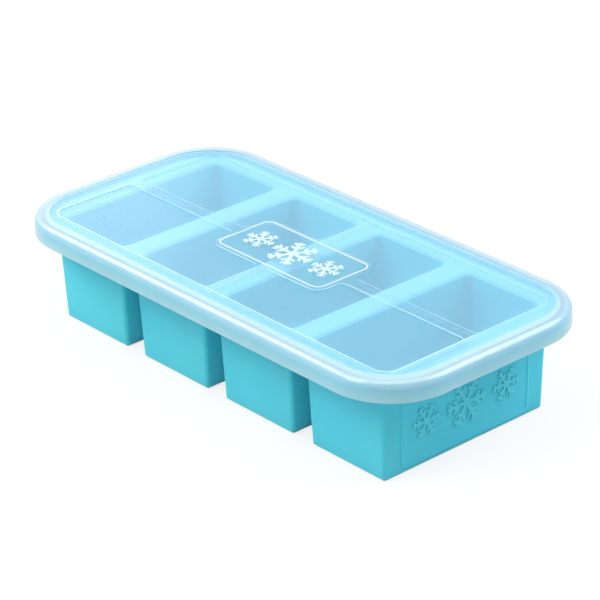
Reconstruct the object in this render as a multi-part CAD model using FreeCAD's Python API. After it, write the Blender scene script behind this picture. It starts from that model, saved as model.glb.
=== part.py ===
import FreeCAD, Part
import math
import os

from FreeCAD import Vector

# Covered freezing tray, in millimetres. Origin: on the floor, under the middle of the tray.
# X runs along the row of portion wells, Y across it and Z up.

# Portion wells
well_count = 4
well_pitch = 62.0
foot_length = 49.2  # outside of one well at its foot, along X
foot_width = 101.7  # outside of one well at its foot, along Y
side_draft = 1.2  # degrees, outside of the long walls that face the next well
end_draft = 2.25  # degrees, outside of the short walls
foot_wall = 2.0  # silicone between cavity and outside at the foot
floor_thickness = 2.2
cavity_side_draft = 1.2
cavity_end_draft = 1.0
well_round = 2.0  # outside, upright edges
foot_bevel = 1.1
cavity_round = 4.0  # inside, upright and floor edges
lip_bevel = 1.1  # where a cavity opens through the deck

# Deck and its rim
deck_top = 54.7
deck_thickness = 2.6
end_overhang = 19.45  # foot of the last well to the rim's outside, along X
side_overhang = 15.05  # foot of a well to the rim's outside, along Y
flange_corner = 32.4
bead_width = 4.7
bead_rise = 2.0  # rim bead above the deck
bead_drop = 1.0  # rim bead below the deck
bead_bevel = 1.2
rim_land = 3.0  # flat deck that is modelled with the rim
wire_width = 1.6
wire_height = 3.2

# Raised outline on the two short ends of the tray
end_frame_inset = 10.0  # outline to each side of the well's foot
end_frame_foot = 2.6
end_frame_top = 43.0
end_frame_corner = 4.0
end_frame_line = 0.9
end_frame_raise = 0.4

# Fill lines on one short wall inside each well
fill_fractions = (0.25, 0.5, 0.75)
full_depth = 52.0  # depth of a full portion, up to the brim
fill_line_length = 14.0
fill_line_height = 0.8
fill_line_raise = 0.4

# Lid skirt and rim
skirt_wall = 1.4
lid_wall = 1.4
rim_gap = 0.9  # tray rim to the inside of the skirt
skirt_reach = 3.7  # skirt below the tray's rim bead
skirt_bevel = 0.4
lip_clearance = 0.3  # snap lip to the tray's rim
lip_drop = 0.6  # lip's upper ramp below the rim bead
lip_ramp = 1.0
lip_foot = 0.9  # lip's lower end above the skirt's edge
rim_top_round = 4.5
rim_inner_bevel = 1.5
bead_clearance = 0.4  # tray rim to the step under the lid
step_wall = 0.7
rim_step = 0.7  # stacking recess below the lid's rim
frame_land = 3.0  # flat frame that is modelled with the rim

# Lid top
panel_end_inset = 15.55  # tray rim to the four sunken panels, along X
panel_side_inset = 12.9  # tray rim to the four sunken panels, along Y
panel_recess = 0.8
panel_corner = 8.0
long_band = 7.2  # width of the band that runs along the lid
cross_band = 4.0
band_corner = 3.0
badge_length = 77.4
badge_width = 38.4
badge_corner = 6.0
badge_root = 4.5

# Places that follow from the sizes above
flange_length = (well_count - 1) * well_pitch + foot_length + 2 * end_overhang
flange_width = foot_width + 2 * side_overhang
end_frame_width = foot_width - 2 * end_frame_inset
panel_length = flange_length - 2 * panel_end_inset
panel_width = flange_width - 2 * panel_side_inset
deck_under = deck_top - deck_thickness
bead_top = deck_top + bead_rise
bead_foot = deck_under - bead_drop
rim_margin = rim_gap + skirt_wall
lid_length = flange_length + 2 * rim_margin
lid_width = flange_width + 2 * rim_margin
lid_corner = flange_corner + rim_margin
rim_top = bead_top + lid_wall
frame_top = rim_top - rim_step
panel_top = frame_top - panel_recess
skirt_foot = bead_foot - skirt_reach
under_step = rim_margin + bead_width + bead_clearance
rim_width = under_step + step_wall


def well_centres():
    first = -(well_count - 1) / 2 * well_pitch
    return [first + i * well_pitch for i in range(well_count)]


def rounded(corners):
    """Closed wire through (x, y, radius) corners in the XY plane, each corner an arc of its radius."""
    count = len(corners)
    points = [Vector(x, y, 0) for x, y, radius in corners]
    edges = []
    joints = []
    for i in range(count):
        here = points[i]
        back = (points[i - 1] - here).normalize()
        ahead = (points[(i + 1) % count] - here).normalize()
        radius = corners[i][2]
        if radius == 0:
            joints.append((here, here))
            continue
        half = back.getAngle(ahead) / 2
        reach = radius / math.tan(half)
        middle = here + (back + ahead).normalize() * (radius / math.sin(half) - radius)
        start = here + back * reach
        end = here + ahead * reach
        joints.append((start, end))
        edges.append(Part.Arc(start, middle, end).toShape())
    for i in range(count):
        start = joints[i][1]
        end = joints[(i + 1) % count][0]
        if start.distanceToPoint(end) > 1e-6:
            edges.append(Part.LineSegment(start, end).toShape())
    return Part.Wire(Part.__sortEdges__(edges))


def rectangle(length, width, radius):
    x = length / 2
    y = width / 2
    return rounded([(-x, -y, radius), (x, -y, radius), (x, y, radius), (-x, y, radius)])


def plate(length, width, radius, low, high):
    face = Part.Face(rectangle(length, width, radius))
    solid = face.extrude(Vector(0, 0, high - low))
    solid.translate(Vector(0, 0, low))
    return solid


def turned(shape, degrees):
    copy = shape.copy()
    copy.rotate(Vector(0, 0, 0), Vector(0, 0, 1), degrees)
    return copy


def stood_up(face):
    """Flat drawing turned to stand in the YZ plane: its x points along +Y and its y along +Z."""
    face.rotate(Vector(0, 0, 0), Vector(1, 0, 0), 90)
    face.rotate(Vector(0, 0, 0), Vector(0, 0, 1), 90)
    return face


def ring(section, length, width, radius):
    """A standing section carried round a rounded rectangle, as four straights and four quarter turns."""
    pieces = []
    for quarter in range(4):
        run, out = (length, width) if quarter % 2 == 0 else (width, length)
        straight = run - 2 * radius
        start = section.copy()
        start.translate(Vector(-straight / 2, -out / 2, 0))
        side = start.extrude(Vector(straight, 0, 0))
        end = section.copy()
        end.translate(Vector(straight / 2, -out / 2, 0))
        centre = Vector(straight / 2, radius - out / 2, 0)
        corner = end.revolve(centre, Vector(0, 0, 1), 90)
        pieces.append(turned(side, 90 * quarter))
        pieces.append(turned(corner, 90 * quarter))
    return pieces[0].multiFuse(pieces[1:]).removeSplitter()


def drafted_block(length, width, draft_x, draft_y, low, high):
    """Block that stands on a length x width foot and widens upwards by its two drafts."""
    height = high - low
    x = length / 2
    y = width / 2
    top_x = x + height * math.tan(math.radians(draft_x))
    top_y = y + height * math.tan(math.radians(draft_y))
    block = Part.makeWedge(-x, 0, -y, -top_y, -top_x, x, height, y, top_y, top_x)
    block.rotate(Vector(0, 0, 0), Vector(1, 0, 0), 90)
    block.translate(Vector(0, 0, low))
    return block


def upright_edges(shape):
    """Edges that climb from the shape's foot to its top."""
    full = shape.BoundBox.ZLength
    return [e for e in shape.Edges if e.BoundBox.ZLength > 0.9 * full]


def level_edges(shape, height, length, width):
    """Edges at one height that lie inside a length x width rectangle about the origin."""
    found = []
    for edge in shape.Edges:
        box = edge.BoundBox
        level = abs(box.ZMin - height) < 1e-4 and abs(box.ZMax - height) < 1e-4
        inside_x = max(-box.XMin, box.XMax) < length / 2
        inside_y = max(-box.YMin, box.YMax) < width / 2
        if level and inside_x and inside_y:
            found.append(edge)
    return found


def well_body():
    """Outside of one well: upright edges rounded, then the foot bevelled all round."""
    block = drafted_block(foot_length, foot_width, side_draft, end_draft, 0, deck_top)
    block = block.makeFillet(well_round, upright_edges(block))
    return block.makeChamfer(foot_bevel, level_edges(block, 0, flange_length, flange_width))


def cavity_block(shrink, high):
    length = foot_length - 2 * foot_wall - 2 * shrink
    width = foot_width - 2 * foot_wall - 2 * shrink
    low = floor_thickness
    return drafted_block(length, width, cavity_side_draft, cavity_end_draft, low, high)


def cavity():
    """Inside of one well, rounded so that a frozen portion slides out; each floor corner is part of a ball."""
    block = cavity_block(0, deck_top + lip_bevel)
    foot_edges = level_edges(block, floor_thickness, flange_length, flange_width)
    return block.makeFillet(cavity_round, upright_edges(block) + foot_edges)


def fill_lines():
    """Low bars on the short wall of one cavity, each at its share of a full portion."""
    high = deck_top - lip_bevel
    wall_band = cavity_block(0, high).cut(cavity_block(fill_line_raise, high))
    bars = []
    for fraction in fill_fractions:
        level = floor_thickness + fraction * full_depth
        bar = Part.makeBox(fill_line_length, foot_width / 2, fill_line_height)
        bar.translate(Vector(-fill_line_length / 2, -foot_width / 2, level - fill_line_height))
        bars.append(bar.common(wall_band))
    return bars


def end_frame():
    """Raised outline that follows the drafted end wall of the last well."""
    height = end_frame_top - end_frame_foot
    inner_corner = end_frame_corner - end_frame_line
    outer = Part.Face(rectangle(end_frame_width, height, end_frame_corner))
    inner_width = end_frame_width - 2 * end_frame_line
    inner_height = height - 2 * end_frame_line
    inner = Part.Face(rectangle(inner_width, inner_height, inner_corner))
    line = stood_up(outer.cut(inner))
    line.translate(Vector(foot_length / 2 - foot_wall / 2, 0, end_frame_foot + height / 2))
    bar = line.extrude(Vector(foot_length / 2, 0, 0))
    grown = foot_length + 2 * end_frame_raise
    skin = drafted_block(grown, foot_width, side_draft, end_draft, 0, deck_top)
    frame = bar.common(skin)
    frame.translate(Vector(well_centres()[-1], 0, 0))
    return frame


def moved(shape, x):
    copy = shape.copy()
    copy.translate(Vector(x, 0, 0))
    return copy


def bevelled(corners):
    """Corners with each one that has a fourth value, its bevel, split into two along its sides."""
    result = []
    for i, (inward, height, radius, bevel) in enumerate(corners):
        if bevel == 0:
            result.append((inward, height, radius))
            continue
        here = Vector(inward, height, 0)
        for other in (corners[i - 1], corners[(i + 1) % len(corners)]):
            way = (Vector(other[0], other[1], 0) - here).normalize()
            point = here + way * bevel
            result.append((point.x, point.y, radius))
    return result


def tray_rim():
    """Bead round the deck, bevelled along its top, and a strip of deck inside it."""
    land = bead_width + rim_land
    corners = [
        (0, bead_foot, 0, 0),
        (0, bead_top, 0, bead_bevel),
        (bead_width, bead_top, 0, bead_bevel),
        (bead_width, deck_top, 0, 0),
        (land, deck_top, 0, 0),
        (land, deck_under, 0, 0),
        (bead_width, deck_under, 0, 0),
        (bead_width, bead_foot, 0, 0),
    ]
    section = stood_up(Part.Face(rounded(bevelled(corners))))
    return ring(section, flange_length, flange_width, flange_corner)


def wire_ring():
    """Flat-rolled steel ring along the middle of the rim bead."""
    inset = (bead_width - wire_width) / 2
    low = (bead_top + bead_foot - wire_height) / 2
    high = low + wire_height
    corners = [(0, low, 0), (0, high, 0), (wire_width, high, 0), (wire_width, low, 0)]
    section = stood_up(Part.Face(rounded(corners)))
    return ring(section, flange_length - 2 * inset, flange_width - 2 * inset, flange_corner - inset)


def make_tray(wire):
    """One silicone moulding: wells hanging from a deck, with the rim bead closed round its wire."""
    inset = bead_width + rim_land
    length = flange_length - 2 * inset
    width = flange_width - 2 * inset
    deck = plate(length, width, flange_corner - inset, deck_under, deck_top)
    bodies = [moved(well_body(), x) for x in well_centres()]
    tray = tray_rim().multiFuse([deck] + bodies).removeSplitter()
    hollow = cavity()
    tray = tray.cut(Part.makeCompound([moved(hollow, x) for x in well_centres()]))
    tray = tray.makeChamfer(lip_bevel, level_edges(tray, deck_top, length, width))
    frame = end_frame()
    lines = [moved(bar, x) for x in well_centres() for bar in fill_lines()]
    tray = tray.multiFuse([frame, turned(frame, 180)] + lines).removeSplitter()
    return tray.cut(wire)


def lid_rim():
    """Skirt with its snap lip, rounded shoulder, rim and the step down to the stacking recess."""
    lip = rim_margin - lip_clearance
    under = rim_top - lid_wall
    lip_top = bead_foot - lip_drop
    land = rim_width + frame_land
    corners = [
        (0, skirt_foot, 0, skirt_bevel),
        (0, rim_top, rim_top_round, 0),
        (rim_width, rim_top, 0, 0),
        (rim_width, frame_top, 0, 0),
        (land, frame_top, 0, 0),
        (land, frame_top - lid_wall, 0, 0),
        (under_step, frame_top - lid_wall, 0, 0),
        (under_step, under, 0, 0),
        (skirt_wall, under, 0, rim_inner_bevel),
        (skirt_wall, lip_top, 0, 0),
        (lip, lip_top - lip_ramp, 0, 0),
        (lip, skirt_foot + lip_foot, 0, 0),
        (skirt_wall, skirt_foot, 0, 0),
    ]
    section = stood_up(Part.Face(rounded(bevelled(corners))))
    return ring(section, lid_length, lid_width, lid_corner)


def sunken_panel(grow, low, high):
    """One quarter of the lid's sunken area: a corner block less the badge, with its own corner radii."""
    near_x = cross_band / 2 - grow
    near_y = long_band / 2 - grow
    far_x = panel_length / 2 + grow
    far_y = panel_width / 2 + grow
    badge_x = badge_length / 2 - grow
    badge_y = badge_width / 2 - grow
    outline = rounded(
        [
            (badge_x, near_y, badge_root),
            (far_x, near_y, band_corner),
            (far_x, far_y, panel_corner),
            (near_x, far_y, band_corner),
            (near_x, badge_y, badge_root),
            (badge_x, badge_y, badge_corner),
        ]
    )
    block = Part.Face(outline).extrude(Vector(0, 0, high - low))
    block.translate(Vector(0, 0, low))
    return block


def four_panels(panel):
    """The panel and its mirror images over both middle planes."""
    pair = [panel, panel.mirror(Vector(0, 0, 0), Vector(1, 0, 0))]
    return pair + [p.mirror(Vector(0, 0, 0), Vector(0, 1, 0)) for p in pair]


def make_lid():
    """Press-on cover: rim and skirt round a thin top that steps down into four sunken panels."""
    land = rim_width + frame_land
    length = lid_length - 2 * land
    width = lid_width - 2 * land
    frame_under = frame_top - lid_wall
    top = plate(length, width, lid_corner - land, frame_under, frame_top)
    lid = lid_rim().fuse(top).removeSplitter()
    floors = four_panels(sunken_panel(step_wall, panel_top - lid_wall, frame_under))
    lid = lid.multiFuse(floors).removeSplitter()
    sinks = four_panels(sunken_panel(0, panel_top, rim_top))
    return lid.cut(Part.makeCompound(sinks))


def main():
    os.makedirs("parts", exist_ok=True)
    wire = wire_ring()
    pieces = {"tray": make_tray(wire), "rim_wire": wire, "lid": make_lid()}
    for name, shape in pieces.items():
        print(name, "solids", len(shape.Solids), "valid", shape.isValid(), "volume", round(shape.Volume, 1))
        shape.exportStep(f"parts/{name}.step")


main()
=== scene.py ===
# %% [markdown]
# # A covered silicone freezing tray
# Four deep portion wells hang from one aqua silicone deck, and a milky press-on lid closes them.
# The shapes come packed from CAD as a fixed frame. This lesson dresses them: it softens their
# edges, models the raised motif on the lid and on the short ends, mixes the two plastics and
# lights them softly. Everything is in metres, with +X along the row of wells and +Z up.

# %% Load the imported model
import bpy
import bmesh
import math
from mathutils import Matrix, Vector


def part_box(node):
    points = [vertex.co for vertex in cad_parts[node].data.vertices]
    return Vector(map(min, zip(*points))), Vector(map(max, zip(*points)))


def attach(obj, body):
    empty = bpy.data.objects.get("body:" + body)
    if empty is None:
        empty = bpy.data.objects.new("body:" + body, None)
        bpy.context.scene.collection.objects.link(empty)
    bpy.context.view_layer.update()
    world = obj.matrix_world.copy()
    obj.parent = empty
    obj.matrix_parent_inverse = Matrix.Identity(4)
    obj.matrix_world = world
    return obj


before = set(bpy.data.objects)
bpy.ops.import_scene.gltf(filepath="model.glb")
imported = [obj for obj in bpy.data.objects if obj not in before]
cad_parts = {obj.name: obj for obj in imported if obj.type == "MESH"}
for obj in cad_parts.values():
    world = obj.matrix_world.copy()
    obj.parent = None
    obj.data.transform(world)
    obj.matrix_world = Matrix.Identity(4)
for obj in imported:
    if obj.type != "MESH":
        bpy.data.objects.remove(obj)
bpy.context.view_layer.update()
MM = 0.001
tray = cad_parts["tray"]
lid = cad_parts["lid"]
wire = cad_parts["rim_wire"]
lid_low, lid_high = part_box("lid")
tray_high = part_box("tray")[1]
print("lid", [round(v / MM, 1) for v in lid_high], "tray", [round(v / MM, 1) for v in tray_high])

# %% [markdown]
# ## The camera
# A product photo is taken from a distance, so its lines hardly converge. The camera could be
# placed by eye, but a degree of error shifts every edge. So its place, its aim, the slight roll
# and the lens were solved from straight edges of the object whose sizes are known.

# %% Camera
CAMERA_PLACE = (0.90369, -0.77766, 0.62027)
CAMERA_RIGHT = (0.66364, 0.74763, -0.02515)
CAMERA_UP = (-0.31513, 0.30990, 0.89702)
CAMERA_BACK = (0.67844, -0.58738, 0.44127)
LENS = 164.715  # mm
SENSOR = 36  # mm
CAMERA_SHIFT = (-0.0026, -0.00432)  # shares of the frame

bpy.ops.object.camera_add()
camera = bpy.context.object
axes = Matrix((CAMERA_RIGHT, CAMERA_UP, CAMERA_BACK)).transposed()
camera.matrix_world = Matrix.Translation(CAMERA_PLACE) @ axes.to_4x4()
camera.data.lens = LENS
camera.data.sensor_width = SENSOR
camera.data.shift_x, camera.data.shift_y = CAMERA_SHIFT
bpy.context.scene.camera = camera
print("camera stands", round(Vector(CAMERA_PLACE).length, 2), "m from the middle of the tray")

# %% [markdown]
# ## Working by operators
# Operators act on whatever is selected, so each piece starts from an empty selection, and edges
# and faces are chosen by where they lie. Small helpers do the choosing, because the same two or
# three lines come back at every step of a model.


# %% Helpers for modelling
def start_empty():
    bpy.ops.object.select_all(action="DESELECT")


def middle(part):
    """Where an edge or a face lies, as the mean of its corners."""
    return sum((v.co for v in part.verts), Vector()) / len(part.verts)


def choose(kind, wanted):
    """In edit mode, selects only the edges or faces whose middle passes the test."""
    bpy.ops.mesh.select_mode(type=kind)
    bpy.ops.mesh.select_all(action="DESELECT")
    mesh = bmesh.from_edit_mesh(bpy.context.object.data)
    parts = {"EDGE": mesh.edges, "FACE": mesh.faces}[kind]
    for part in parts:
        if wanted(middle(part)):
            part.select_set(True)
    bmesh.update_edit_mesh(bpy.context.object.data)


def extrude(x, y, z):
    bpy.ops.mesh.extrude_region_move(TRANSFORM_OT_translate={"value": (x, y, z)})


def join_all(pieces, name):
    """Joins the pieces into the first one, with their places applied."""
    start_empty()
    for piece in pieces:
        piece.select_set(True)
    whole = pieces[0]
    bpy.context.view_layer.objects.active = whole
    bpy.ops.object.transform_apply(location=True)
    bpy.ops.object.join()
    whole.name = name
    return whole


# %% [markdown]
# ## Soft edges on the two mouldings
# A moulding has no knife edges: each edge has a small radius that catches a line of light. Rounding
# every edge in CAD would make heavy solids, so modifiers do it here. The CAD mesh is loose
# triangles and stays as it is under them. Weld joins the triangles, Decimate in planar mode removes
# the edges inside flat faces, and Bevel rounds the sharp edges that are left.

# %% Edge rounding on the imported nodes
TRAY_EDGE = 0.3 * MM
LID_EDGE = 0.15 * MM
WELD_REACH = 0.002 * MM
FLAT_WITHIN = math.radians(0.5)
SHARP_FROM = math.radians(25)


def soften(node, width):
    weld = node.modifiers.new("weld", "WELD")
    weld.merge_threshold = WELD_REACH
    flat = node.modifiers.new("flat_faces", "DECIMATE")
    flat.decimate_type = "DISSOLVE"
    flat.angle_limit = FLAT_WITHIN
    bevel = node.modifiers.new("soft_edges", "BEVEL")
    bevel.width = width
    bevel.segments = 2
    bevel.limit_method = "ANGLE"
    bevel.angle_limit = SHARP_FROM
    node.modifiers.new("even_shading", "WEIGHTED_NORMAL")
    print(node.name, "edges softened by", round(width / MM, 2), "mm")


soften(tray, TRAY_EDGE)
soften(lid, LID_EDGE)

# %% [markdown]
# ## The motif: one arm of a snowflake
# The lid's badge and the outline on each short end hold a raised motif: three plain snowflakes
# say that the tray goes into a freezer. A flake could be cut from a disc, but an arm and five
# copies give exact symmetry. The arm grows from a small square: its edges are extruded outwards
# step by step, with a pair of branches at some of the steps, and its root narrows to the centre.

# %% One arm
STROKE = 1.5  # width of the arm, in the units of the plan
ARM_PLAN = ((1.4, 0.0), (1.5, 2.2), (1.4, 0.0), (1.5, 1.6), (1.0, 0.0))  # (step, branch) from the root
BRANCH_ANGLE = math.radians(60)
NEAR = 0.01 * MM  # points closer than this count as one


def draw_arm(radius):
    """Starts a mesh with one flat arm of this length along +X and stays in edit mode."""
    root_length = STROKE * math.sqrt(3) / 2
    unit = radius / (root_length + STROKE + sum(step for step, branch in ARM_PLAN))
    root = root_length * unit
    half = STROKE * unit / 2
    bpy.ops.mesh.primitive_plane_add(size=2 * half, location=(root + half, 0, 0))
    bpy.ops.object.transform_apply(location=True)
    bpy.ops.object.mode_set(mode="EDIT")
    choose("EDGE", lambda at: abs(at.x - root) < NEAR)
    extrude(-root, 0, 0)
    bpy.ops.mesh.merge(type="CENTER")
    tip = root + 2 * half
    for step, branch in ARM_PLAN:
        choose("EDGE", lambda at: abs(at.x - tip) < NEAR)
        extrude(step * unit, 0, 0)
        if branch:
            fork = tip + step * unit / 2
            along = branch * unit * math.cos(BRANCH_ANGLE)
            aside = branch * unit * math.sin(BRANCH_ANGLE)
            for side in (-1, 1):
                choose("EDGE", lambda at: abs(at.x - fork) < NEAR and abs(at.y - side * half) < NEAR)
                extrude(along, side * aside, 0)
        tip += step * unit


# %% [markdown]
# ## The motif: six arms
# The first arm is copied and turned five times. An array round an empty would do the same, but
# turned copies need no helper object. The arm lies within 30 degrees of +X, so that is how it is
# found again among the copies. Merging the doubles makes one sheet, and extruding the sheet gives
# it its height.

# %% One snowflake
ARMS = 6
SIXTH = math.radians(360 / ARMS)


def snowflake(name, radius, raise_by):
    """Snowflake about the origin, in the XY plane, raised along +Z."""
    start_empty()
    draw_arm(radius)
    flake = bpy.context.object
    flake.name = name
    for turn in range(1, ARMS):
        choose("FACE", lambda at: abs(math.atan2(at.y, at.x)) < SIXTH / 2)
        bpy.ops.mesh.duplicate()
        bpy.ops.transform.rotate(value=turn * SIXTH, orient_axis="Z", center_override=(0, 0, 0))
    bpy.ops.mesh.select_all(action="SELECT")
    bpy.ops.mesh.remove_doubles(threshold=NEAR)
    extrude(0, 0, raise_by)
    bpy.ops.mesh.select_all(action="SELECT")
    bpy.ops.mesh.normals_make_consistent(inside=False)
    bpy.ops.object.mode_set(mode="OBJECT")
    print(name, "radius", round(radius / MM, 1), "mm, faces", len(flake.data.polygons))
    return flake


# %% [markdown]
# ## Rounding the raised forms
# Moulded relief has polished edges too. Here the bevel is applied, because these pieces are made
# from scratch and nothing depends on their first shape. The modifier's own limit of 30 degrees
# leaves the flat tops alone.

# %% Finish of a relief
SMOOTH_BELOW = math.radians(35)


def round_edges(piece, width, segments):
    bevel = piece.modifiers.new("soft_edges", "BEVEL")
    bevel.width = width
    bevel.segments = segments
    bevel.limit_method = "ANGLE"
    bpy.ops.object.modifier_apply(modifier=bevel.name)
    bpy.ops.object.shade_smooth_by_angle(angle=SMOOTH_BELOW)


# %% [markdown]
# ## Badge on the lid
# The middle plateau of the lid carries a raised, frosted outline. It could be a curve with a
# profile, but a plane with bevelled corners, inset to leave a narrow line and raised, has the flat
# top and square sides of moulded relief.

# %% Badge outline
BADGE_LENGTH = 74.6 * MM
BADGE_WIDTH = 35.2 * MM
BADGE_CORNER = 5.0 * MM
BADGE_LINE = 0.9 * MM
BADGE_RAISE = 0.35 * MM
BADGE_LEVEL = lid_high[2] - 0.7 * MM  # the plateau lies a little below the lid's rim

start_empty()
bpy.ops.mesh.primitive_plane_add(size=1)
badge = bpy.context.object
bpy.ops.transform.resize(value=(BADGE_LENGTH, BADGE_WIDTH, 1))
bpy.ops.object.transform_apply(scale=True)
bpy.ops.object.mode_set(mode="EDIT")
bpy.ops.mesh.select_all(action="SELECT")
bpy.ops.mesh.bevel(offset=BADGE_CORNER, segments=10, affect="VERTICES")
bpy.ops.mesh.select_all(action="SELECT")
bpy.ops.mesh.inset(thickness=BADGE_LINE)
bpy.ops.mesh.delete(type="FACE")
bpy.ops.mesh.select_all(action="SELECT")
extrude(0, 0, BADGE_RAISE)
bpy.ops.mesh.select_all(action="SELECT")
bpy.ops.mesh.normals_make_consistent(inside=False)
bpy.ops.object.mode_set(mode="OBJECT")
print("badge outline", len(badge.data.polygons), "faces")

# %% [markdown]
# ## Flakes in the badge
# Three flakes stand in a row inside the outline, a large one between two small ones. All of it is
# one piece, rooted a little way into the plateau so that no gap can show under it.

# %% Badge flakes
FLAKE_ROW = ((-23.5, 8.6), (0.0, 12.4), (23.5, 8.6))  # (place along the badge, radius) in mm
SINK = 0.05 * MM  # how far a raised line is rooted in its wall
BADGE_EDGE = 0.1 * MM

flakes = []
for number, (along, radius) in enumerate(FLAKE_ROW):
    flake = snowflake(f"badge_flake_{number}", radius * MM, BADGE_RAISE)
    flake.location.x = along * MM
    flakes.append(flake)
badge = join_all([badge] + flakes, "lid_badge_relief")
badge.location.z = BADGE_LEVEL - SINK
bpy.ops.object.transform_apply(location=True)
round_edges(badge, BADGE_EDGE, 2)
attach(badge, "lid")
print("badge relief", len(badge.data.polygons), "faces")

# %% [markdown]
# ## Relief on the short ends
# The same motif stands on both end walls, in the silicone itself. A boolean could fuse it with the
# wall, but relief rooted in the wall looks the same and leaves the CAD mesh alone. The wall leans
# out by its mould draft, so the row is stood up, leaned by the same angle and turned to face its way.

# %% End reliefs
END_DRAFT = math.radians(1.2)
END_RAISE = 0.7 * MM
END_EDGE = 0.25 * MM
END_LEVEL = 22.5 * MM  # height of the row's middle
WELL_FOOT_END = 117.6 * MM  # where the end wall meets the floor
END_ROW = ((-25.5, 8.6), (0.0, 12.4), (25.5, 8.6))  # (place across the wall, radius) in mm
QUARTER_TURN = math.radians(90)
HALF_TURN = math.radians(180)


def end_relief(name, heading):
    """Three flakes on the end wall that looks this way round from +X."""
    row = []
    for number, (across, radius) in enumerate(END_ROW):
        flake = snowflake(f"{name}_{number}", radius * MM, END_RAISE)
        flake.location = (across * MM, 0, -SINK)
        row.append(flake)
    relief = join_all(row, name)
    stand = Matrix.Rotation(QUARTER_TURN, 4, "Z") @ Matrix.Rotation(QUARTER_TURN, 4, "X")
    lean = Matrix.Rotation(END_DRAFT, 4, "Y")
    wall = WELL_FOOT_END + END_LEVEL * math.tan(END_DRAFT)
    place = Matrix.Translation((wall, 0, END_LEVEL))
    relief.matrix_world = Matrix.Rotation(heading, 4, "Z") @ place @ lean @ stand
    bpy.ops.object.transform_apply(location=True, rotation=True, scale=True)
    round_edges(relief, END_EDGE, 3)
    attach(relief, "tray")
    return relief


reliefs = [end_relief("end_relief_plus_x", 0), end_relief("end_relief_minus_x", HALF_TURN)]
print("end reliefs", [len(piece.data.polygons) for piece in reliefs])

# %% [markdown]
# ## Colour and node helpers
# Colours are written as they look on a screen and turned to linear light by one function. One
# function adds a node with its settings, its values and its links, so that a material reads as a
# list of what it is made of.

# %% Helpers for materials
COLOUR_A = 6  # sockets of a Mix node that mixes colours
COLOUR_B = 7
COLOUR_OUT = 2


def linear(hex_colour):
    """RGBA in linear light from an sRGB hex colour."""
    result = []
    for i in (1, 3, 5):
        value = int(hex_colour[i : i + 2], 16) / 255
        result.append(value / 12.92 if value <= 0.04045 else ((value + 0.055) / 1.055) ** 2.4)
    return (*result, 1.0)


def new_material(name):
    material = bpy.data.materials.new(name)
    material.use_nodes = True
    material.node_tree.nodes.clear()
    return material


def add_node(material, kind, values=None, links=None, **settings):
    node = material.node_tree.nodes.new(kind)
    for setting, value in settings.items():
        setattr(node, setting, value)
    for socket, value in (values or {}).items():
        node.inputs[socket].default_value = value
    for socket, source in (links or {}).items():
        material.node_tree.links.new(source, node.inputs[socket])
    return node


def dress(piece, material):
    piece.data.materials.clear()
    piece.data.materials.append(material)
    print(piece.name, "is dressed in", material.name)


# %% [markdown]
# ## Moulded silicone: its colour
# Platinum-cured silicone, compression moulded in a satin-blasted steel mould. The eye gets an
# even, saturated aqua that drifts slowly in tone, as the pigment is never mixed quite evenly. The
# deck's upward faces get a paler aqua painted in: painted light, for the light they catch from
# above. One flat colour would be simpler, but a large plain wall then looks like paint.

# %% Colour of silicone by place
SILICONE = "#62E1F1"
SILICONE_DEEP = "#59D9EA"
# painted light: the reliefs' aqua is lighter, for the scattered light they lack
RELIEF_PAINTED_LIGHTER = "#6CEBF9"
RELIEF_DEEP_PAINTED_LIGHTER = "#63E3F2"
# painted light: paler aqua on the deck's upward faces, for the light they catch from above
DECK_PAINTED_LIGHT = "#94D8E9"
DECK_LEVEL = tray_high[2] - 4.0 * MM  # everything above it belongs to the deck
UPWARD = (0.3, 0.8)  # the face starts to count as upward, and counts in full, by its normal's Z
DRIFT = 35.0  # mm, slow change of tone


def silicone_colour(silicone, place, light, deep):
    """Colour socket: aqua between light and deep, with painted light making the deck's upward faces
    paler.
    """
    drift = add_node(
        silicone,
        "ShaderNodeTexNoise",
        {"Scale": 1000 / DRIFT, "Detail": 2.0},
        {"Vector": place.outputs["Object"]},
    )
    tone = add_node(
        silicone,
        "ShaderNodeMix",
        {COLOUR_A: linear(light), COLOUR_B: linear(deep)},
        {"Factor": drift.outputs["Fac"]},
        data_type="RGBA",
    )
    height = add_node(silicone, "ShaderNodeSeparateXYZ", links={"Vector": place.outputs["Object"]})
    high = add_node(
        silicone,
        "ShaderNodeMath",
        {1: DECK_LEVEL},
        {0: height.outputs["Z"]},
        operation="GREATER_THAN",
    )
    shape = add_node(silicone, "ShaderNodeNewGeometry")
    parts = add_node(silicone, "ShaderNodeSeparateXYZ", links={"Vector": shape.outputs["Normal"]})
    upward = add_node(
        silicone,
        "ShaderNodeMapRange",
        {"From Min": UPWARD[0], "From Max": UPWARD[1]},
        {"Value": parts.outputs["Z"]},
    )
    # painted light: only the deck's upward faces take the paler aqua
    deck_painted_light = add_node(
        silicone,
        "ShaderNodeMath",
        links={0: high.outputs["Value"], 1: upward.outputs["Result"]},
        operation="MULTIPLY",
    )
    colour = add_node(
        silicone,
        "ShaderNodeMix",
        {COLOUR_B: linear(DECK_PAINTED_LIGHT)},
        {"Factor": deck_painted_light.outputs["Value"], COLOUR_A: tone.outputs[COLOUR_OUT]},
        data_type="RGBA",
    )
    return colour.outputs[COLOUR_OUT]


# %% [markdown]
# ## Moulded silicone: its surface
# Satin silicone has a soft sheen at a glancing angle and no sharp reflections, and the blasted
# mould leaves a very fine grain in it. Light wanders a few millimetres inside before it leaves,
# which softens the shading of a wall. The small reliefs would lose their shape to that, so they
# are mixed without it, with a lighter aqua painted in as painted light for the glow they lack.

# %% Silicone material
GRAIN = 0.45  # mm, blasted grain, drawn about four times as coarse as it is
GRAIN_ROUGHNESS = (0.46, 0.58)
GRAIN_BUMP = 0.25
GRAIN_DEPTH = 0.04 * MM
SILICONE_IOR = 1.41
WANDER = 4.5 * MM
WANDER_BY_COLOUR = (0.35, 1.0, 1.0)  # red light is absorbed sooner
TRAY_SCATTER = 0.7


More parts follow.
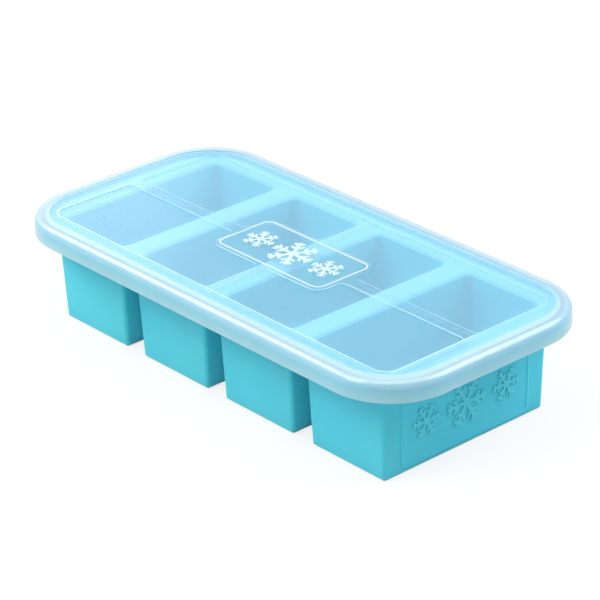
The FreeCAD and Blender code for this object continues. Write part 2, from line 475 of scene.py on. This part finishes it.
def moulded_silicone(name, scatter, light, deep):
    """Satin silicone; scatter is the share of light that wanders inside it before it leaves."""
    silicone = new_material(name)
    place = add_node(silicone, "ShaderNodeTexCoord")
    grain = add_node(
        silicone,
        "ShaderNodeTexNoise",
        {"Scale": 1000 / GRAIN, "Detail": 3.0},
        {"Vector": place.outputs["Object"]},
    )
    satin = add_node(
        silicone,
        "ShaderNodeMapRange",
        {"To Min": GRAIN_ROUGHNESS[0], "To Max": GRAIN_ROUGHNESS[1]},
        {"Value": grain.outputs["Fac"]},
    )
    bumps = add_node(
        silicone,
        "ShaderNodeBump",
        {"Strength": GRAIN_BUMP, "Distance": GRAIN_DEPTH},
        {"Height": grain.outputs["Fac"]},
    )
    skin = add_node(
        silicone,
        "ShaderNodeBsdfPrincipled",
        {
            "IOR": SILICONE_IOR,
            "Specular IOR Level": 0.35,
            "Subsurface Weight": scatter,
            "Subsurface Radius": WANDER_BY_COLOUR,
            "Subsurface Scale": WANDER,
            "Sheen Weight": 0.08,
            "Sheen Roughness": 0.5,
        },
        {
            "Base Color": silicone_colour(silicone, place, light, deep),
            "Roughness": satin.outputs["Result"],
            "Normal": bumps.outputs["Normal"],
        },
    )
    add_node(silicone, "ShaderNodeOutputMaterial", links={"Surface": skin.outputs["BSDF"]})
    return silicone


tray_silicone = moulded_silicone(
    "compression_moulded_silicone", TRAY_SCATTER, SILICONE, SILICONE_DEEP
)
relief_silicone = moulded_silicone(
    "compression_moulded_silicone_relief", 0.0, RELIEF_PAINTED_LIGHTER, RELIEF_DEEP_PAINTED_LIGHTER
)
dress(tray, tray_silicone)
for piece in reliefs:
    dress(piece, relief_silicone)

# %% [markdown]
# ## Flat-rolled steel wire
# The ring sealed in the rim bead is drawn stainless wire, rolled flat. Rolling leaves fine streaks
# along the wire and a soft metallic shine. The ring lies level, so a noise that is squeezed only
# along Z runs along it all the way round, and no separate pattern is needed for each side. It
# shows only where the silicone is cut or taken off.

# %% Steel wire material
STEEL = "#C6C8CB"
STREAK = 0.3  # mm, rolling streaks, across the wire
STREAK_ROUGHNESS = (0.28, 0.42)

steel = new_material("flat_rolled_stainless_steel")
place = add_node(steel, "ShaderNodeTexCoord")
flow = add_node(
    steel,
    "ShaderNodeMapping",
    {"Scale": (1.0, 1.0, 1000 / STREAK)},
    {"Vector": place.outputs["Object"]},
)
streaks = add_node(
    steel,
    "ShaderNodeTexNoise",
    {"Scale": 1.0, "Detail": 4.0},
    {"Vector": flow.outputs["Vector"]},
)
shine = add_node(
    steel,
    "ShaderNodeMapRange",
    {"To Min": STREAK_ROUGHNESS[0], "To Max": STREAK_ROUGHNESS[1]},
    {"Value": streaks.outputs["Fac"]},
)
rolled = add_node(
    steel,
    "ShaderNodeBsdfPrincipled",
    {"Base Color": linear(STEEL), "Metallic": 1.0},
    {"Roughness": shine.outputs["Result"]},
)
add_node(steel, "ShaderNodeOutputMaterial", links={"Surface": rolled.outputs["BSDF"]})
dress(wire, steel)

# %% [markdown]
# ## Natural polypropylene
# The lid is injection moulded in natural, unpigmented polypropylene. Its crystals scatter a little
# light, so a flat wall looks clear with a faint haze, and the steep skirt, which light crosses
# lengthwise, looks milky. Glass with haze in its volume would be the physical way, but light
# through so many thin walls is slow and noisy. So a transparent shader is mixed with a pale
# diffuse one, and gloss is laid over both. How much of each a point gets depends on where it lies,
# and the first thing to know is its distance from a rounded outline.

# %% Distance from a rounded outline
LID_CORNER = 34.7 * MM
PANEL_CORNER = 8.0 * MM  # the four sunken panels share one outer outline
PANEL_HALF_LENGTH = 121.5 * MM
PANEL_HALF_WIDTH = 53.0 * MM


def outline_reach(material, position, half_length, half_width, radius):
    """Socket: distance from the arcs' centres. The outline lies where it equals the radius."""
    quarter = add_node(material, "ShaderNodeVectorMath", links={0: position}, operation="ABSOLUTE")
    corner = add_node(
        material,
        "ShaderNodeVectorMath",
        {1: (half_length - radius, half_width - radius, lid_high[2])},
        {0: quarter.outputs["Vector"]},
        operation="SUBTRACT",
    )
    beyond = add_node(
        material,
        "ShaderNodeVectorMath",
        {1: (0, 0, 0)},
        {0: corner.outputs["Vector"]},
        operation="MAXIMUM",
    )
    reach = add_node(
        material, "ShaderNodeVectorMath", links={0: beyond.outputs["Vector"]}, operation="LENGTH"
    )
    return reach.outputs["Value"]


# %% [markdown]
# ## Zones of the lid
# With that distance, the height and the slope of a point, the lid is split into zones. Each is a
# number from 0 to 1 that goes over into its neighbour on a short ramp. A painted mask would need
# an image or a finer mesh, and this works on any mesh.

# %% Zones
SHOULDER_RAMP = (LID_CORNER - 6.0 * MM, LID_CORNER - 4.0 * MM)
RIM_RAMP = (LID_CORNER - 9.0 * MM, LID_CORNER - 6.5 * MM)
SKIRT_FOOT = 9.0 * MM  # height over which the skirt's foot goes over into its upper part
INSIDE_LEVEL = lid_high[2] - 1.9 * MM  # the underside of the top lies below this
INSIDE_EDGE = LID_CORNER - 3.0 * MM  # and the inner side of the skirt within this


def lid_zones(plastic):
    """Sockets by name: where on the lid a point lies."""
    place = add_node(plastic, "ShaderNodeTexCoord").outputs["Object"]
    height = add_node(plastic, "ShaderNodeSeparateXYZ", links={"Vector": place})
    shape = add_node(plastic, "ShaderNodeNewGeometry")
    parts = add_node(plastic, "ShaderNodeSeparateXYZ", links={"Vector": shape.outputs["Normal"]})
    upness = add_node(
        plastic, "ShaderNodeMath", links={0: parts.outputs["Z"]}, operation="ABSOLUTE"
    )
    slope = add_node(
        plastic, "ShaderNodeMath", {0: 1.0}, {1: upness.outputs["Value"]}, operation="SUBTRACT"
    )
    reach = outline_reach(plastic, place, lid_high[0], lid_high[1], LID_CORNER)
    near_edge = add_node(
        plastic,
        "ShaderNodeMapRange",
        {"From Min": SHOULDER_RAMP[0], "From Max": SHOULDER_RAMP[1]},
        {"Value": reach},
    )
    skirt = add_node(
        plastic,
        "ShaderNodeMath",
        links={0: slope.outputs["Value"], 1: near_edge.outputs["Result"]},
        operation="MULTIPLY",
    )
    climb = add_node(
        plastic,
        "ShaderNodeMapRange",
        {"From Min": lid_low[2], "From Max": lid_low[2] + SKIRT_FOOT},
        {"Value": height.outputs["Z"]},
    )
    rim = add_node(
        plastic,
        "ShaderNodeMapRange",
        {"From Min": RIM_RAMP[0], "From Max": RIM_RAMP[1]},
        {"Value": reach},
    )
    low = add_node(
        plastic,
        "ShaderNodeMath",
        {1: INSIDE_LEVEL},
        {0: height.outputs["Z"]},
        operation="LESS_THAN",
    )
    within = add_node(
        plastic, "ShaderNodeMath", {1: INSIDE_EDGE}, {0: reach}, operation="LESS_THAN"
    )
    inside = add_node(
        plastic,
        "ShaderNodeMath",
        links={0: low.outputs["Value"], 1: within.outputs["Value"]},
        operation="MULTIPLY",
    )
    return {
        "place": place,
        "across": height.outputs["Y"],
        "height": height.outputs["Z"],
        "slope": slope.outputs["Value"],
        "near_edge": near_edge.outputs["Result"],
        "skirt": skirt.outputs["Value"],
        "climb": climb.outputs["Result"],
        "rim": rim.outputs["Result"],
        "inside": inside.outputs["Value"],
    }


# %% [markdown]
# ## Lines of the sunken panels
# The small steps on top of the lid scatter light along their polished edges and look like fine
# pale lines, and so does the outline of the four panels. Thin ribs could draw them too, but the
# real lid has none, so the haze is raised on the steps, partly for the longer way through their
# walls and partly as painted highlight, and on a band along the panel outline as painted
# highlight. The lines are painted strong on the front half and faint on the back half, as painted
# light, where the steps catch less of the light.

# %% Pale lines
PANEL_LEVEL = lid_high[2] - 1.45 * MM  # just above the panels, so that only the steps count
# painted highlight: haze of the pale band along the panel outline
LINE_PAINTED_HIGHLIGHT = 0.7
LINE_WIDTH = 0.9 * MM
# painted light: the back half keeps only this share of the painted highlight lines
FAR_PAINTED_HIGHLIGHT = 0.2  # share of the lines left on the back half
MIDDLE_RAMP = 3.0 * MM  # either side of the middle of the lid


def painted_highlight_lines(plastic, zones):
    """Socket: how much painted highlight a point gets, as a pale line."""
    above = add_node(
        plastic,
        "ShaderNodeMath",
        {1: PANEL_LEVEL},
        {0: zones["height"]},
        operation="GREATER_THAN",
    )
    steps = add_node(
        plastic,
        "ShaderNodeMath",
        links={0: zones["slope"], 1: above.outputs["Value"]},
        operation="MULTIPLY",
    )
    panel_reach = outline_reach(
        plastic, zones["place"], PANEL_HALF_LENGTH, PANEL_HALF_WIDTH, PANEL_CORNER
    )
    on_line = add_node(
        plastic,
        "ShaderNodeMath",
        {1: PANEL_CORNER + LINE_WIDTH / 2, 2: LINE_WIDTH / 2},
        {0: panel_reach},
        operation="COMPARE",
    )
    line = add_node(
        plastic,
        "ShaderNodeMath",
        {1: LINE_PAINTED_HIGHLIGHT},
        {0: on_line.outputs["Value"]},
        operation="MULTIPLY",
    )
    lines = add_node(
        plastic,
        "ShaderNodeMath",
        links={0: steps.outputs["Value"], 1: line.outputs["Value"]},
        operation="MAXIMUM",
    )
    # painted light: the lines fade from the lit front half to the back half
    painted_light_fade = add_node(
        plastic,
        "ShaderNodeMapRange",
        {"From Min": -MIDDLE_RAMP, "From Max": MIDDLE_RAMP, "To Min": 1.0, "To Max": FAR_PAINTED_HIGHLIGHT},
        {"Value": zones["across"]},
    )
    faded = add_node(
        plastic,
        "ShaderNodeMath",
        links={0: lines.outputs["Value"], 1: painted_light_fade.outputs["Result"]},
        operation="MULTIPLY",
    )
    return faded.outputs["Value"]


# %% [markdown]
# ## How much haze
# The thin top has little haze, the rim over the silicone bead has more, the pale lines of painted
# highlight have most, and the skirt has its own. One even haze would be simpler, but the lid would
# look like tracing paper. Faint clouds spread from the gate, where the plastic flowed in.

# %% Share of haze
RIM_EXTRA = 0.34
# how strongly the painted highlight lines add to the haze
HIGHLIGHT_LINE_EXTRA = 1.6
FLOW = 28.0  # mm, size of the flow clouds
CLOUDS = (0.85, 1.15)


def haze_share(plastic, zones, flat_haze, steep_haze):
    """Socket: 0 is clear and 1 is milk."""
    wide_haze = add_node(
        plastic,
        "ShaderNodeMapRange",
        {"To Min": flat_haze, "To Max": flat_haze + RIM_EXTRA},
        {"Value": zones["rim"]},
    )
    top_haze = add_node(
        plastic,
        "ShaderNodeMath",
        {1: HIGHLIGHT_LINE_EXTRA},
        {0: painted_highlight_lines(plastic, zones), 2: wide_haze.outputs["Result"]},
        operation="MULTIPLY_ADD",
        use_clamp=True,
    )
    haze = add_node(
        plastic,
        "ShaderNodeMapRange",
        {"To Max": steep_haze},
        {"Value": zones["skirt"], "To Min": top_haze.outputs["Value"]},
    )
    clouds = add_node(
        plastic,
        "ShaderNodeTexNoise",
        {"Scale": 1000 / FLOW, "Detail": 2.0},
        {"Vector": zones["place"]},
    )
    uneven = add_node(
        plastic,
        "ShaderNodeMapRange",
        {"To Min": CLOUDS[0], "To Max": CLOUDS[1]},
        {"Value": clouds.outputs["Fac"]},
    )
    share = add_node(
        plastic,
        "ShaderNodeMath",
        links={0: haze.outputs["Result"], 1: uneven.outputs["Result"]},
        operation="MULTIPLY",
    )
    return share.outputs["Value"]


# %% [markdown]
# ## The milk and the clear part
# The milk is tinted aqua by painted bounce light from the silicone around it, over the plastic's
# own faint blue: least over the rim, most on the upper skirt, which hugs the silicone. Part of its
# light goes on through the wall, so it is a diffuse shader mixed with a translucent one. The clear
# part lets light through with hardly a tint, except where it is seen along the wall near the edge:
# there the way through the plastic is long and looks bluish.

# %% Milk and clear plastic
RIM_HAZE = "#ECFAFF"
# painted bounce light: the upper skirt's haze takes the most aqua from the silicone
SKIRT_HAZE_PAINTED_BOUNCE = "#A8EFFF"
# painted bounce light: the skirt's foot takes less aqua
SKIRT_FOOT_HAZE = "#D4FDFF"  # the foot of the skirt stands free of the silicone
MILK_ROUGHNESS = 0.35
PLASTIC_IOR = 1.49
ONWARD_SHARE = 0.4
CLEAR = "#F4FCFF"
CLEAR_EDGE = "#A9B4D8"


def milk(plastic, zones, panel_haze):
    """Shader socket of the scattered light."""
    top_tint = add_node(
        plastic,
        "ShaderNodeMix",
        {COLOUR_A: linear(panel_haze), COLOUR_B: linear(RIM_HAZE)},
        {"Factor": zones["rim"]},
        data_type="RGBA",
    )
    skirt_tint = add_node(
        plastic,
        "ShaderNodeMix",
        {COLOUR_A: linear(SKIRT_FOOT_HAZE), COLOUR_B: linear(SKIRT_HAZE_PAINTED_BOUNCE)},
        {"Factor": zones["climb"]},
        data_type="RGBA",
    )
    tint = add_node(
        plastic,
        "ShaderNodeMix",
        links={
            "Factor": zones["skirt"],
            COLOUR_A: top_tint.outputs[COLOUR_OUT],
            COLOUR_B: skirt_tint.outputs[COLOUR_OUT],
        },
        data_type="RGBA",
    )
    front = add_node(
        plastic,
        "ShaderNodeBsdfPrincipled",
        {"Roughness": MILK_ROUGHNESS, "IOR": PLASTIC_IOR},
        {"Base Color": tint.outputs[COLOUR_OUT]},
    )
    onward = add_node(
        plastic, "ShaderNodeBsdfTranslucent", links={"Color": tint.outputs[COLOUR_OUT]}
    )
    mixed = add_node(
        plastic,
        "ShaderNodeMixShader",
        {0: ONWARD_SHARE},
        {1: front.outputs["BSDF"], 2: onward.outputs["BSDF"]},
    )
    return mixed.outputs["Shader"]


def clear_part(plastic, zones, glancing):
    """Shader socket of the light that goes straight through."""
    long_way = add_node(
        plastic,
        "ShaderNodeMath",
        links={0: glancing, 1: zones["near_edge"]},
        operation="MULTIPLY",
    )
    passed = add_node(
        plastic,
        "ShaderNodeMix",
        {COLOUR_A: linear(CLEAR), COLOUR_B: linear(CLEAR_EDGE)},
        {"Factor": long_way.outputs["Value"]},
        data_type="RGBA",
    )
    through = add_node(
        plastic, "ShaderNodeBsdfTransparent", links={"Color": passed.outputs[COLOUR_OUT]}
    )
    return through.outputs["BSDF"]


# %% [markdown]
# ## Gloss, and the whole plastic
# A smooth face mirrors a few hundredths of the light head on and nearly all of it at a glancing
# angle, which the fifth power of Layer Weight follows. The core side of the mould is blasted, so
# the inside of the lid hardly shines. The badge is the same plastic from an etched patch of the
# mould: nearly all haze, and a duller gloss.

# %% Polypropylene materials
# painted bounce light: the panels' haze is tinted aqua over the plastic's own faint blue
PANEL_HAZE_PAINTED_BOUNCE = "#D8F6FF"
FLAT_HAZE = 0.2
STEEP_HAZE = 0.8
LID_ROUGHNESS = 0.2
FROST_HAZE = "#F0FBFF"
FROST_FLAT = 0.82
FROST_STEEP = 0.9
FROST_ROUGHNESS = 0.4
GLOSS = (0.04, 0.9)  # share of light mirrored head on and at a glancing angle
INSIDE_GLOSS = 0.2


def polypropylene(name, panel_haze, flat_haze, steep_haze, gloss_roughness):
    plastic = new_material(name)
    zones = lid_zones(plastic)
    facing = add_node(plastic, "ShaderNodeLayerWeight", {"Blend": 0.5})
    glancing = add_node(
        plastic, "ShaderNodeMath", {1: 5.0}, {0: facing.outputs["Facing"]}, operation="POWER"
    )
    body = add_node(
        plastic,
        "ShaderNodeMixShader",
        links={
            0: haze_share(plastic, zones, flat_haze, steep_haze),
            1: clear_part(plastic, zones, glancing.outputs["Value"]),
            2: milk(plastic, zones, panel_haze),
        },
    )
    mirrored = add_node(
        plastic,
        "ShaderNodeMapRange",
        {"To Min": GLOSS[0], "To Max": GLOSS[1]},
        {"Value": glancing.outputs["Value"]},
    )
    kept = add_node(
        plastic,
        "ShaderNodeMapRange",
        {"To Min": 1.0, "To Max": INSIDE_GLOSS},
        {"Value": zones["inside"]},
    )
    shine = add_node(
        plastic,
        "ShaderNodeMath",
        links={0: mirrored.outputs["Result"], 1: kept.outputs["Result"]},
        operation="MULTIPLY",
    )
    gloss = add_node(plastic, "ShaderNodeBsdfGlossy", {"Roughness": gloss_roughness})
    whole = add_node(
        plastic,
        "ShaderNodeMixShader",
        links={0: shine.outputs["Value"], 1: body.outputs["Shader"], 2: gloss.outputs["BSDF"]},
    )
    add_node(plastic, "ShaderNodeOutputMaterial", links={"Surface": whole.outputs["Shader"]})
    return plastic


clear_plastic = polypropylene(
    "injection_moulded_polypropylene", PANEL_HAZE_PAINTED_BOUNCE, FLAT_HAZE, STEEP_HAZE, LID_ROUGHNESS
)
frosted_plastic = polypropylene(
    "etched_mould_polypropylene", FROST_HAZE, FROST_FLAT, FROST_STEEP, FROST_ROUGHNESS
)
dress(lid, clear_plastic)
dress(badge, frosted_plastic)

# %% [markdown]
# ## The floor
# A product photo has a white sweep. More light would whiten a grey floor, but it would bleach the
# object too. So the paper is pale and mostly shows its own white to the camera and in reflections,
# with enough of its lit surface left to keep the soft shadow.

# %% Floor
FLOOR_SIZE = 8.0  # m
FLOOR_GAP = 0.05 * MM  # keeps the paper and the feet of the wells from sharing one plane
WHITE_SHARE = 0.8  # the rest is the lit surface, with the shadow
WHITE = "#FFFFFF"
PAPER_BOUNCE = "#B6B7B8"  # what the paper throws back on the object

start_empty()
bpy.ops.mesh.primitive_plane_add(size=FLOOR_SIZE)
floor = bpy.context.object
floor.name = "floor"
floor.location.z = -FLOOR_GAP
paper = new_material("white_paper_sweep")
rays = add_node(paper, "ShaderNodeLightPath")
direct = add_node(
    paper,
    "ShaderNodeMath",
    links={0: rays.outputs["Is Camera Ray"], 1: rays.outputs["Is Glossy Ray"]},
    operation="MAXIMUM",
)
seen = add_node(
    paper, "ShaderNodeMath", {1: WHITE_SHARE}, {0: direct.outputs["Value"]}, operation="MULTIPLY"
)
shade = add_node(
    paper,
    "ShaderNodeMix",
    {COLOUR_A: linear(PAPER_BOUNCE), COLOUR_B: linear(WHITE)},
    {"Factor": direct.outputs["Value"]},
    data_type="RGBA",
)
lit = add_node(paper, "ShaderNodeBsdfDiffuse", links={"Color": shade.outputs[COLOUR_OUT]})
white = add_node(paper, "ShaderNodeEmission", {"Strength": 1.0})
sweep = add_node(
    paper,
    "ShaderNodeMixShader",
    links={0: seen.outputs["Value"], 1: lit.outputs["BSDF"], 2: white.outputs["Emission"]},
)
add_node(paper, "ShaderNodeOutputMaterial", links={"Surface": sweep.outputs["Shader"]})
dress(floor, paper)

# %% [markdown]
# ## The lamps
# Six soft boxes stand round the table. A large one gives a wide, weak reflection and a small one
# a narrow, bright line, so the sizes are chosen as much as the strengths: the key draws the line
# along the shoulder, and the card on the left lays a lavender sheen over the far left well.

# %% Lamps
LAMPS = (  # name, place, aim, size, watts, colour
    ("overhead", (0.0, 0.0, 1.3), (0, 0, 0), 1.1, 5.0, WHITE),
    ("key", (-0.35, -1.05, 1.2), (0, 0, 0.04), 0.7, 11.0, WHITE),
    ("front_right", (1.25, -1.0, 0.45), (0, 0, 0.03), 0.9, 2.0, WHITE),
    ("left_strip", (-1.0, -0.45, 0.95), (0, 0, 0.05), 0.6, 8.0, WHITE),
    ("left_card", (-1.28, 0.72, 0.58), (-0.05, 0, 0.05), 0.35, 0.75, "#EADFFF"),
    ("back_right", (0.6, 0.85, 0.95), (0, 0, 0.05), 0.8, 13.0, "#F2F5FF"),
)

for name, place, aim, size, watts, colour in LAMPS:
    start_empty()
    bpy.ops.object.light_add(type="AREA", location=place)
    lamp = bpy.context.object
    lamp.name = name
    lamp.data.shape = "SQUARE"
    lamp.data.size = size
    lamp.data.energy = watts
    lamp.data.color = linear(colour)[:3]
    lamp.rotation_euler = (Vector(aim) - Vector(place)).to_track_quat("-Z", "Y").to_euler()
print("lamps", len(LAMPS), "with", sum(lamp[4] for lamp in LAMPS), "W in all")

# %% [markdown]
# ## The room
# The room is white to the camera and in reflections, where gloss would otherwise mirror a dark
# studio, and dimmer as a light, so that the lamps still shape the object.

# %% World
WORLD_LEVEL = 0.32

world = bpy.data.worlds.new("studio")
bpy.context.scene.world = world
world.use_nodes = True
world.node_tree.nodes.clear()
rays = add_node(world, "ShaderNodeLightPath")
direct = add_node(
    world,
    "ShaderNodeMath",
    links={0: rays.outputs["Is Camera Ray"], 1: rays.outputs["Is Glossy Ray"]},
    operation="MAXIMUM",
)
level = add_node(
    world,
    "ShaderNodeMapRange",
    {"To Min": WORLD_LEVEL, "To Max": 1.0},
    {"Value": direct.outputs["Value"]},
)
back = add_node(
    world,
    "ShaderNodeBackground",
    {"Color": linear(WHITE)},
    {"Strength": level.outputs["Result"]},
)
add_node(world, "ShaderNodeOutputWorld", links={"Surface": back.outputs["Background"]})
bpy.context.scene.view_settings.view_transform = "Standard"
